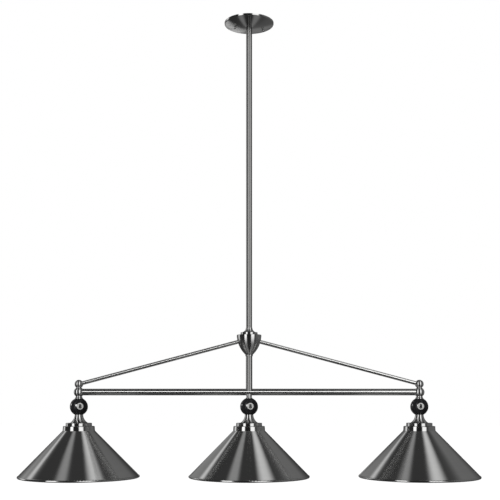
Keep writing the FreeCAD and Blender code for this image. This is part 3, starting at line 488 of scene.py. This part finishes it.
def add_piece(name, build, material, body):
    """Turns a bmesh into a smooth piece that rides on a body."""
    mesh = bpy.data.meshes.new(name)
    build.to_mesh(mesh)
    build.free()
    mesh.materials.append(material)
    mesh.shade_smooth()
    piece = bpy.data.objects.new(name, mesh)
    scene.collection.objects.link(piece)
    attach(piece, body)
    return mesh


def ball_numbers():
    """White disc and a plain figure 8, inlaid on the front of each ball; the balls are turned unevenly."""
    white = number_white()
    black = ball_resin()
    black.name = "numeral_black_resin"
    low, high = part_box("center_ball")
    radius = (high.x - low.x) / 2
    for side in SIDES:
        centre = middle(f"{side}_ball")
        angle = math.radians(BALL_TURNS[side])
        facing = Vector((math.sin(angle), -math.cos(angle), BALL_TILT)).normalized()
        disc = bmesh.new()
        flat_ring(disc, (0, 0), 0, DISC_RADIUS, DISC_PROUD, DISC_STEPS, DISC_ROWS)
        mesh = add_piece(f"{side}_ball_disc", disc, white, f"{side}_pool_ball")
        wrap(mesh, centre, facing, radius)
        numeral = bmesh.new()
        for height, inner, outer in LOOPS:
            flat_ring(numeral, (0, height), inner, outer, NUMERAL_PROUD, LOOP_STEPS, LOOP_ROWS)
        mesh = add_piece(f"{side}_ball_numeral", numeral, black, f"{side}_pool_ball")
        wrap(mesh, centre, facing, radius)


# ---------------------------------------------------------------- studio

def camera():
    """Level camera in front of the lamp."""
    data = bpy.data.cameras.new("camera")
    data.lens = CAMERA_LENS
    data.sensor_width = 36.0
    data.clip_end = 100.0
    data.shift_x = CAMERA_SIDE_SHIFT
    view = bpy.data.objects.new("camera", data)
    view.location = CAMERA_PLACE
    view.rotation_euler = (math.radians(90.0), 0.0, 0.0)
    scene.collection.objects.link(view)
    scene.camera = view
    return view


def follow_camera(target, path, view, expression):
    """Drives a value from the camera's place, through the variables x, y and z."""
    driver = target.driver_add(path).driver
    driver.type = "SCRIPTED"
    for name, channel in (("x", "LOC_X"), ("y", "LOC_Y"), ("z", "LOC_Z")):
        variable = driver.variables.new()
        variable.name = name
        variable.type = "TRANSFORMS"
        variable.targets[0].id = view
        variable.targets[0].transform_type = channel
        variable.targets[0].transform_space = "WORLD_SPACE"
    driver.expression = expression


def rising_view(view):
    """The lens is shifted up, as in a view camera, only from the first viewpoint; other views look straight on."""
    place = CAMERA_PLACE
    near = f"abs(x - {place.x:.5f}) + abs(y - {place.y:.5f}) + abs(z - {place.z:.5f}) < 0.001"
    follow_camera(view.data, "shift_y", view, f"{CAMERA_RISE} if {near} else 0.0")


# Brightness round the lamp, listed by the tilt of the polished surface that mirrors it towards the camera:
# (sine of the angle the surface is turned to the right, light level). Three lists: surfaces leaning down,
# upright ones and ones leaning up.
LEVELS_UNDER = (
    (-1.0, 0.05), (-0.60, 0.04), (-0.46, 0.04), (-0.40, 0.22), (-0.27, 0.22), (-0.20, 0.03),
    (0.10, 0.03), (0.18, 0.22), (0.33, 0.22), (0.45, 0.06), (0.70, 0.10), (1.0, 0.12),
)
LEVELS_UPRIGHT = (
    (-1.0, 0.10), (-0.95, 0.15), (-0.91, 0.30), (-0.88, 1.0), (-0.83, 1.0), (-0.79, 0.04), (-0.45, 0.03),
    (-0.43, 1.7), (-0.29, 1.7), (-0.25, 0.02), (0.07, 0.02), (0.12, 1.5), (0.32, 1.5), (0.38, 0.04),
    (0.55, 0.16), (0.90, 0.18), (0.99, 0.05),
)
LEVELS_LEANING_UP = (
    (-1.0, 0.40), (-0.86, 0.28), (-0.835, 0.30), (-0.80, 0.80), (-0.775, 0.80), (-0.73, 0.12), (-0.66, 0.05),
    (-0.39, 0.05), (-0.32, 0.36), (-0.22, 0.36), (-0.16, 0.05), (0.13, 0.05), (0.20, 0.58), (0.25, 0.80),
    (0.33, 0.74), (0.37, 0.56), (0.44, 0.06), (0.55, 0.08), (0.68, 0.20), (0.88, 0.19), (0.95, 0.10),
    (0.985, 0.05),
)
LEVEL_ON_TOP = 0.05

# The pale backdrop straight behind the lamp: (slant plus 0.5, light level) on the left, and one level on the right.
WALL_LEVELS = ((0.40, 0.24), (0.48, 0.30), (0.53, 1.05), (0.59, 0.90), (0.65, 0.42), (0.80, 0.30))
WALL_RIGHT = 0.25
WALL_SLOPE = 0.545


def turned_share(sine):
    """Share of a full turn for a surface whose normal lies at this sine to the side."""
    return 0.5 + math.asin(sine) / (2 * math.pi)


def studio_world(view):
    """White to the camera, soft light for dull surfaces and a striped studio for mirrors, turned with the camera."""
    world = bpy.data.worlds.new("studio")
    scene.world = world
    world.use_nodes = True
    world.cycles.sampling_method = "NONE"  # the light seen depends on the kind of ray, so rays alone must find it
    nodes = Nodes(world.node_tree)
    direction = nodes.add("ShaderNodeTexCoord").outputs["Generated"]
    turn = nodes.add("ShaderNodeVectorRotate", rotation_type="Z_AXIS")
    nodes.link(direction, turn.inputs["Vector"])
    follow_camera(turn.inputs["Angle"], "default_value", view, "-atan2(x, -y)")
    lean = nodes.vector("NORMALIZE", nodes.vector("SUBTRACT", turn.outputs[0], (0, 1, 0)))
    parts = nodes.split(lean)
    side = nodes.math("ARCTAN2", parts[0], nodes.math("MULTIPLY", parts[1], -1.0))
    share = nodes.math("ADD", nodes.math("DIVIDE", side, 2 * math.pi), 0.5)

    def levels(table):
        return nodes.ramp(share, [(turned_share(sine), level) for sine, level in table])

    under, upright, leaning = levels(LEVELS_UNDER), levels(LEVELS_UPRIGHT), levels(LEVELS_LEANING_UP)
    mirror = nodes.mix_colour(nodes.step(parts[2], -0.28, -0.08), under, upright)
    mirror = nodes.mix_colour(nodes.step(parts[2], 0.36, 0.52), mirror, leaning)
    mirror = nodes.mix_colour(nodes.step(parts[2], 0.74, 0.86), mirror, (LEVEL_ON_TOP,) * 3)

    # The backdrop shows only in mirrors that are met at a grazing angle.
    flat = nodes.split(turn.outputs[0])
    slant = nodes.math("SUBTRACT", nodes.math("MULTIPLY", flat[2], WALL_SLOPE), flat[0])
    crescent = nodes.ramp(nodes.spread(slant, 0.5, 1.5, clamp=False), WALL_LEVELS)
    backdrop = nodes.mix_colour(nodes.step(flat[0], -0.01, -0.06), (WALL_RIGHT,) * 3, crescent)
    wall = nodes.math("MULTIPLY", nodes.step(slant, -0.03, 0.06), nodes.step(flat[1], 0.70, 0.80))
    wall = nodes.math("MAXIMUM", wall, nodes.step(flat[1], 0.87, 0.96))
    below = nodes.math("MULTIPLY", wall, nodes.step(parts[2], -0.5, -0.8))
    straight = nodes.math("MAXIMUM", below, nodes.step(flat[1], 0.985, 0.995))
    mirror = nodes.mix_colour(straight, mirror, backdrop)

    path = nodes.add("ShaderNodeLightPath")
    sky = nodes.split(direction)[2]
    soft = nodes.mix_colour(nodes.step(sky, -0.4, 0.6), (0.75, 0.75, 0.75), (1.0, 1.0, 1.0))
    seen = nodes.mix_colour(path.outputs["Is Glossy Ray"], soft, mirror)
    seen = nodes.mix_colour(path.outputs["Is Camera Ray"], seen, (1.0, 1.0, 1.0))
    background = nodes.add("ShaderNodeBackground")
    nodes.link(seen, background.inputs["Color"])
    output = nodes.add("ShaderNodeOutputWorld")
    nodes.link(background.outputs[0], output.inputs["Surface"])


FLOOR_DROP = 0.75
FLOOR_REACH = 30.0


def floor():
    """Plain pale floor, well below the lamp. It is clear from below, so that the lamp can be looked at from there."""
    build = bmesh.new()
    bmesh.ops.create_grid(build, x_segments=8, y_segments=8, size=FLOOR_REACH)
    mesh = bpy.data.meshes.new("floor")
    build.to_mesh(mesh)
    build.free()
    plane = bpy.data.objects.new("floor", mesh)
    plane.location.z = cad_low.z - FLOOR_DROP
    scene.collection.objects.link(plane)
    material, nodes = new_material("pale_floor")
    place = nodes.add("ShaderNodeTexCoord").outputs["Object"]
    cloud = nodes.noise(place, 0.8, 3.0, 0.5)
    shader = surface(
        nodes,
        Base_Color=nodes.mix_colour(cloud, (0.88, 0.88, 0.88), (0.90, 0.90, 0.90)),
        Roughness=0.8,
        Specular_IOR_Level=0.0,
        Emission_Color=(1.0, 1.0, 1.0),
        Emission_Strength=0.16,
    )
    clear = nodes.add("ShaderNodeBsdfTransparent")
    behind = nodes.add("ShaderNodeNewGeometry").outputs["Backfacing"]
    one_sided = nodes.mix_shader(behind, shader.outputs[0], clear.outputs[0])
    nodes.link(one_sided, nodes.tree.nodes["output"].inputs["Surface"])
    mesh.materials.append(material)
    plane.visible_glossy = False


# Distant lamps mirrored by the balls: name, direction, width in degrees, strength.
GLINTS = (
    ("glint", (-0.42, -0.86, 0.29), 25.0, 7.5),
    ("edge_glint", (-0.90, 0.37, 0.22), 14.0, 0.5),
)
KEY_PLACE = Vector((-1.8, -2.6, 0.9))
KEY_AIM = Vector((0.0, 0.0, -1.0))
KEY_SIZE = (2.5, 1.5)
KEY_POWER = 60.0
STRIP_AWAY = Vector((0.0, -0.955, 0.297)) * 2.0
STRIP_SIZE = (7.0, 0.40)
STRIP_POWER = 40.0
STRIP_DEPTH = 2.5  # a ray's depth is 2 when it comes to a lamp after one mirror
GLINT_DISTANCE = 4.0


def area_lamp(name, place, aim, size, power):
    """Rectangular lamp that the camera doesn't see."""
    data = bpy.data.lights.new(name, "AREA")
    data.shape = "RECTANGLE"
    data.size, data.size_y = size
    data.energy = power
    lamp = bpy.data.objects.new(name, data)
    lamp.location = place
    lamp.rotation_euler = (aim - place).to_track_quat("-Z", "Y").to_euler()
    lamp.visible_camera = False
    scene.collection.objects.link(lamp)
    return lamp


def key_light():
    """One broad lamp over the camera's shoulder for gentle shading; it doesn't show in the metal."""
    lamp = area_lamp("key", KEY_PLACE, KEY_AIM, KEY_SIZE, KEY_POWER)
    lamp.visible_glossy = False


def light_only(lamp, nodes):
    """Lets a lamp shine on a few nodes and nothing else."""
    receivers = bpy.data.collections.new(f"{lamp.name}_receivers")
    for node in nodes:
        receivers.objects.link(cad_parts[node])
    lamp.light_linking.receiver_collection = receivers


def ball_glints():
    """Two small distant lamps that only the polished balls mirror: a sharp glint and a faint one by the left edge."""
    for name, direction, width, strength in GLINTS:
        data = bpy.data.lights.new(name, "SUN")
        data.angle = math.radians(width)
        data.energy = strength
        lamp = bpy.data.objects.new(name, data)
        lamp.location = Vector(direction) * GLINT_DISTANCE
        lamp.rotation_euler = Vector(direction).to_track_quat("Z", "Y").to_euler()
        scene.collection.objects.link(lamp)
        light_only(lamp, [f"{side}_ball" for side in SIDES])


def bar_line():
    """Long narrow strip lamp, high in front, that draws one crisp line along the bar and the braces.

    Only the first mirror on the way from the camera shows it, so the line is not mirrored again in the shades."""
    bar = middle("main_bar")
    lamp = area_lamp("strip", bar + STRIP_AWAY, bar, STRIP_SIZE, STRIP_POWER)
    data = lamp.data
    data.cycles.max_bounces = 0
    data.use_nodes = True
    nodes = Nodes(data.node_tree)
    first_mirror = nodes.math("LESS_THAN", nodes.add("ShaderNodeLightPath").outputs["Ray Depth"], STRIP_DEPTH)
    emission = nodes.add("ShaderNodeEmission")
    nodes.link(first_mirror, emission.inputs["Strength"])
    nodes.link(emission.outputs[0], nodes.add("ShaderNodeOutputLight").inputs["Surface"])
    light_only(lamp, ["main_bar", "left_brace", "right_brace"])


def smooth_shading():
    """Rounded surfaces shade smoothly, and edges sharper than 30 degrees stay crisp."""
    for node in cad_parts.values():
        node.data.shade_smooth()
        node.data.set_sharp_from_angle(angle=math.radians(30.0))


smooth_shading()
dress_metal()
dress_fittings()
ball_numbers()
view = camera()
rising_view(view)
studio_world(view)
floor()
key_light()
ball_glints()
bar_line()
